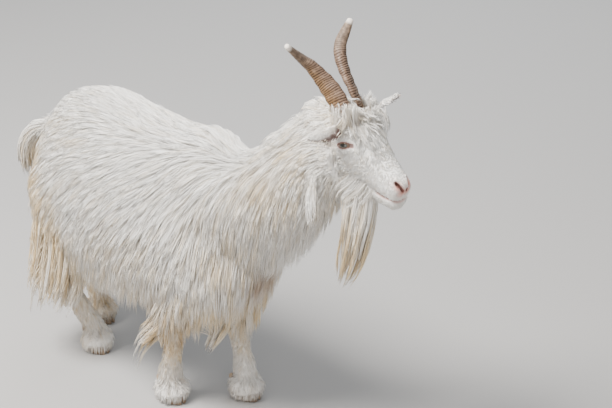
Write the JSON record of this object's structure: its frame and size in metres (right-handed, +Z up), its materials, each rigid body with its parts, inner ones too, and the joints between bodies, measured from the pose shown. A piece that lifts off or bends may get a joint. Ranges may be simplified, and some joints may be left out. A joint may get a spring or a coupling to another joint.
{
  "type": "standing long-haired goat",
  "caption": "Long-haired white dwarf goat with beard, wattles and swept-back horns, standing still, life-size.",
  "frame": {"origin": "on the floor, under the middle of the goat's bounding box", "axes": "+X forwards, the way the body faces, +Y the goat's left, +Z up"},
  "size_m": [1.0234, 0.2844, 0.8377],
  "materials": {
    "coat_white": "long fine hair",
    "coat_cream": "long fine hair",
    "horn": "ridged horn",
    "claw": "worn horn",
    "eye": "wet gloss"
  },
  "bodies": {
    "root": {"head": "coat_white", "neck": "coat_white", "trunk": "coat_white", "tail": "coat_white", "beard": "coat_cream", "ear_left": "coat_white", "eye_left": "eye", "horn_left": "horn", "wattle_left": "coat_white", "ear_right": "coat_white", "eye_right": "eye", "horn_right": "horn", "wattle_right": "coat_white", "upper_leg_fore_left": "coat_cream", "lower_leg_fore_left": "coat_white", "claw_fore_left_inner": "claw", "dewclaw_fore_left_inner": "claw", "claw_fore_left_outer": "claw", "dewclaw_fore_left_outer": "claw", "upper_leg_fore_right": "coat_cream", "lower_leg_fore_right": "coat_white", "claw_fore_right_inner": "claw", "dewclaw_fore_right_inner": "claw", "claw_fore_right_outer": "claw", "dewclaw_fore_right_outer": "claw", "upper_leg_hind_left": "coat_cream", "lower_leg_hind_left": "coat_white", "claw_hind_left_inner": "claw", "dewclaw_hind_left_inner": "claw", "claw_hind_left_outer": "claw", "dewclaw_hind_left_outer": "claw", "upper_leg_hind_right": "coat_cream", "lower_leg_hind_right": "coat_white", "claw_hind_right_inner": "claw", "dewclaw_hind_right_inner": "claw", "claw_hind_right_outer": "claw", "dewclaw_hind_right_outer": "claw"}
  },
  "joints": []
}
